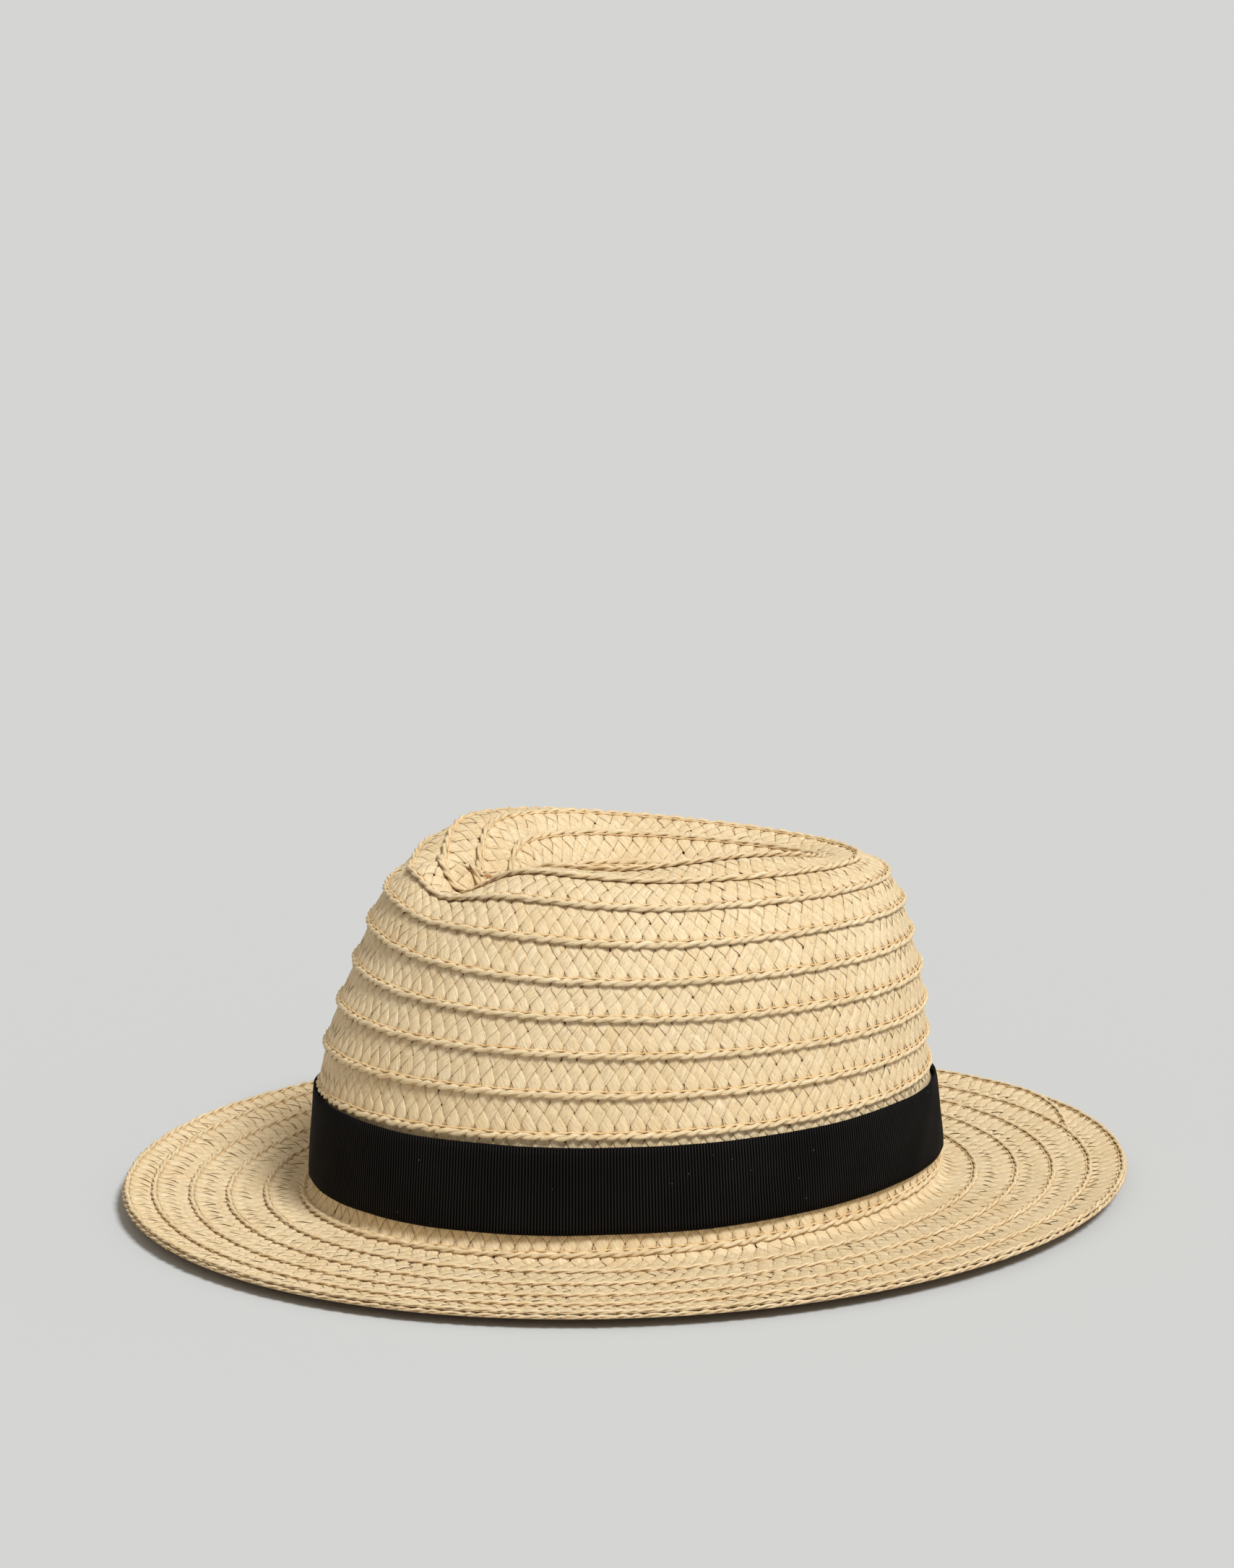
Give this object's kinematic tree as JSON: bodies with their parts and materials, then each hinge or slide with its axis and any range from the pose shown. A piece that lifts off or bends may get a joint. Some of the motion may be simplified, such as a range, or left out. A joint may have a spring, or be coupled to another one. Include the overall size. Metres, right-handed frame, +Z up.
{
  "type": "fedora hat",
  "caption": "Straw fedora of spirally sewn braid with a pinched teardrop crown, a nearly flat brim with a doubled edge, a plain grosgrain ribbon band and a sweatband.",
  "frame": {"origin": "centre of the hat's outline, on the surface that the brim rests on", "axes": "+Z up through the crown, -Y to the front of the hat, +X to the wearer's left"},
  "size_m": [0.299, 0.3367, 0.1201],
  "materials": {
    "straw_braid": "matte plaited straw with a faint sheen along the strands",
    "grosgrain": "black ribbed ribbon, matte",
    "sweatband_cloth": "black woven cloth, matte",
    "label_satin": "white satin, blank"
  },
  "bodies": {
    "root": {"tip_centre": "straw_braid", "tip_round_1": "straw_braid", "tip_round_2": "straw_braid", "tip_round_3": "straw_braid", "tip_round_4": "straw_braid", "crown_round_5": "straw_braid", "crown_round_6": "straw_braid", "crown_round_7": "straw_braid", "crown_round_8": "straw_braid", "crown_round_9": "straw_braid", "crown_round_10": "straw_braid", "crown_round_11": "straw_braid", "crown_round_12": "straw_braid", "crown_round_13": "straw_braid", "crown_round_14": "straw_braid", "brim_round_15": "straw_braid", "brim_round_16": "straw_braid", "brim_round_17": "straw_braid", "brim_round_18": "straw_braid", "brim_round_19": "straw_braid", "brim_round_20": "straw_braid", "brim_edge_underlay": "straw_braid", "ribbon_band": "grosgrain", "sweatband": "sweatband_cloth", "care_label": "label_satin"}
  },
  "joints": []
}
